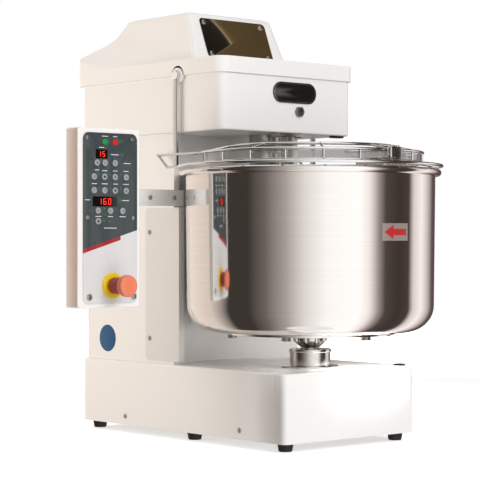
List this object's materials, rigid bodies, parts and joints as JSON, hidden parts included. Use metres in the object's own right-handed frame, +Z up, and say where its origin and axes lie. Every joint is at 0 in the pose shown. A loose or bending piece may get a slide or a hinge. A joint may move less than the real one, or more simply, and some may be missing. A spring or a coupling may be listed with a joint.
{
  "type": "spiral dough mixer",
  "caption": "Floor-standing spiral mixer with a turning steel bowl, fixed head, spiral hook, breaker bar, tilting wire guard and side control box.",
  "frame": {"origin": "on the floor, under the middle of the whole machine, control box and guard included", "axes": "+Z up, the front and the operator at -Y, the operator's right at +X"},
  "size_m": [0.747, 0.81, 0.876],
  "materials": {
    "white_paint": "gloss powder coat",
    "black_rubber": "matte",
    "polished_steel": "polished",
    "steel": "satin",
    "chromed_wire": "bright",
    "clear_plastic": "clear polycarbonate",
    "black_plastic": "moulded",
    "cast_iron": "machined casting",
    "motor_casting": "cast, painted",
    "panel_grey": "printed film",
    "yellow_plastic": "moulded",
    "red_plastic": "moulded",
    "green_plastic": "moulded",
    "key_grey": "moulded"
  },
  "bodies": {
    "machine": {"badge_plate": "steel", "base_bottom_plate": "steel", "base_front_cover": "white_paint", "base_housing": "white_paint", "bowl_belt": "black_rubber", "bowl_motor": "motor_casting", "breaker_bar": "steel", "cable_gland": "black_plastic", "column_access_door": "white_paint", "column_rear_cover": "white_paint", "column_shell": "white_paint", "control_arm": "white_paint", "control_box": "white_paint", "control_panel": "panel_grey", "cover_screws": "steel", "estop_collar": "yellow_plastic", "head_case": "white_paint", "head_lid": "white_paint", "head_lock": "steel", "hub_housing": "steel", "mirror_plate": "polished_steel", "panel_screws": "steel", "pivot_bosses": "white_paint", "rubber_feet": "black_rubber", "shaft_bearings": "steel", "spiral_bearing_housing": "cast_iron", "spiral_belt": "black_rubber", "spiral_motor": "motor_casting"},
    "bowl": {"bowl_shell": "polished_steel", "bowl_base_disc": "steel", "bowl_bolts": "steel", "bowl_coupling": "black_plastic", "bowl_shaft": "steel", "bowl_pulley": "cast_iron"},
    "bowl_motor_rotor": {"bowl_motor_pulley": "cast_iron"},
    "spiral": {"spiral_hook": "steel", "spiral_shaft": "steel", "spiral_pulley": "cast_iron"},
    "spiral_motor_rotor": {"spiral_motor_pulley": "cast_iron"},
    "guard": {"guard_frame": "chromed_wire", "guard_band": "clear_plastic", "guard_handle": "steel"},
    "estop": {"estop_button": "red_plastic"},
    "start": {"start_button": "green_plastic"},
    "stop": {"stop_button": "red_plastic"},
    "press_key_01": {"key_01": "key_grey"},
    "press_key_02": {"key_02": "key_grey"},
    "press_key_03": {"key_03": "key_grey"},
    "press_key_04": {"key_04": "key_grey"},
    "press_key_05": {"key_05": "key_grey"},
    "press_key_06": {"key_06": "key_grey"},
    "press_key_07": {"key_07": "key_grey"},
    "press_key_08": {"key_08": "key_grey"},
    "press_key_09": {"key_09": "key_grey"},
    "press_key_10": {"key_10": "key_grey"},
    "press_key_11": {"key_11": "key_grey"},
    "press_key_12": {"key_12": "key_grey"},
    "press_key_13": {"key_13": "key_grey"},
    "press_key_14": {"key_14": "key_grey"},
    "press_key_15": {"key_15": "key_grey"}
  },
  "joints": [
    {"name": "bowl_spin", "type": "hinge", "parent": "machine", "child": "bowl", "pos_m": [0.1075, -0.139, 0.222], "axis": [0, 0, 1], "continuous": true},
    {"name": "bowl_motor_spin", "type": "hinge", "parent": "machine", "child": "bowl_motor_rotor", "pos_m": [0.1075, 0.261, 0.064], "axis": [0, 0, 1], "continuous": true},
    {"name": "spiral_spin", "type": "hinge", "parent": "machine", "child": "spiral", "pos_m": [0.1335, 0.026, 0.556], "axis": [0, 0, 1], "continuous": true},
    {"name": "spiral_motor_spin", "type": "hinge", "parent": "machine", "child": "spiral_motor_rotor", "pos_m": [0.1075, 0.261, 0.69], "axis": [0, 0, 1], "continuous": true},
    {"name": "guard_tilt", "type": "hinge", "parent": "machine", "child": "guard", "pos_m": [0.1075, 0.053, 0.735], "axis": [-1, 0, 0], "range_deg": [0, 70]},
    {"name": "estop_push", "type": "slide", "parent": "machine", "child": "estop", "axis": [0, 1, 0], "range_m": [0, 0.004], "stiffness_N_per_m": 2000},
    {"name": "start_push", "type": "slide", "parent": "machine", "child": "start", "axis": [0, 1, 0], "range_m": [0, 0.0005], "stiffness_N_per_m": 2000},
    {"name": "stop_push", "type": "slide", "parent": "machine", "child": "stop", "axis": [0, 1, 0], "range_m": [0, 0.0005], "stiffness_N_per_m": 2000},
    {"name": "key_01_push", "type": "slide", "parent": "machine", "child": "press_key_01", "axis": [0, 1, 0], "range_m": [0, 0.0005], "stiffness_N_per_m": 2000},
    {"name": "key_02_push", "type": "slide", "parent": "machine", "child": "press_key_02", "axis": [0, 1, 0], "range_m": [0, 0.0005], "stiffness_N_per_m": 2000},
    {"name": "key_03_push", "type": "slide", "parent": "machine", "child": "press_key_03", "axis": [0, 1, 0], "range_m": [0, 0.0005], "stiffness_N_per_m": 2000},
    {"name": "key_04_push", "type": "slide", "parent": "machine", "child": "press_key_04", "axis": [0, 1, 0], "range_m": [0, 0.0005], "stiffness_N_per_m": 2000},
    {"name": "key_05_push", "type": "slide", "parent": "machine", "child": "press_key_05", "axis": [0, 1, 0], "range_m": [0, 0.0005], "stiffness_N_per_m": 2000},
    {"name": "key_06_push", "type": "slide", "parent": "machine", "child": "press_key_06", "axis": [0, 1, 0], "range_m": [0, 0.0005], "stiffness_N_per_m": 2000},
    {"name": "key_07_push", "type": "slide", "parent": "machine", "child": "press_key_07", "axis": [0, 1, 0], "range_m": [0, 0.0005], "stiffness_N_per_m": 2000},
    {"name": "key_08_push", "type": "slide", "parent": "machine", "child": "press_key_08", "axis": [0, 1, 0], "range_m": [0, 0.0005], "stiffness_N_per_m": 2000},
    {"name": "key_09_push", "type": "slide", "parent": "machine", "child": "press_key_09", "axis": [0, 1, 0], "range_m": [0, 0.0005], "stiffness_N_per_m": 2000},
    {"name": "key_10_push", "type": "slide", "parent": "machine", "child": "press_key_10", "axis": [0, 1, 0], "range_m": [0, 0.0005], "stiffness_N_per_m": 2000},
    {"name": "key_11_push", "type": "slide", "parent": "machine", "child": "press_key_11", "axis": [0, 1, 0], "range_m": [0, 0.0005], "stiffness_N_per_m": 2000},
    {"name": "key_12_push", "type": "slide", "parent": "machine", "child": "press_key_12", "axis": [0, 1, 0], "range_m": [0, 0.0005], "stiffness_N_per_m": 2000},
    {"name": "key_13_push", "type": "slide", "parent": "machine", "child": "press_key_13", "axis": [0, 1, 0], "range_m": [0, 0.0005], "stiffness_N_per_m": 2000},
    {"name": "key_14_push", "type": "slide", "parent": "machine", "child": "press_key_14", "axis": [0, 1, 0], "range_m": [0, 0.0005], "stiffness_N_per_m": 2000},
    {"name": "key_15_push", "type": "slide", "parent": "machine", "child": "press_key_15", "axis": [0, 1, 0], "range_m": [0, 0.0005], "stiffness_N_per_m": 2000}
  ],
  "couplings": [
    {"joint": "bowl_motor_spin", "follows": "bowl_spin", "ratio": 3.2812},
    {"joint": "spiral_motor_spin", "follows": "spiral_spin", "ratio": 2.6389}
  ]
}
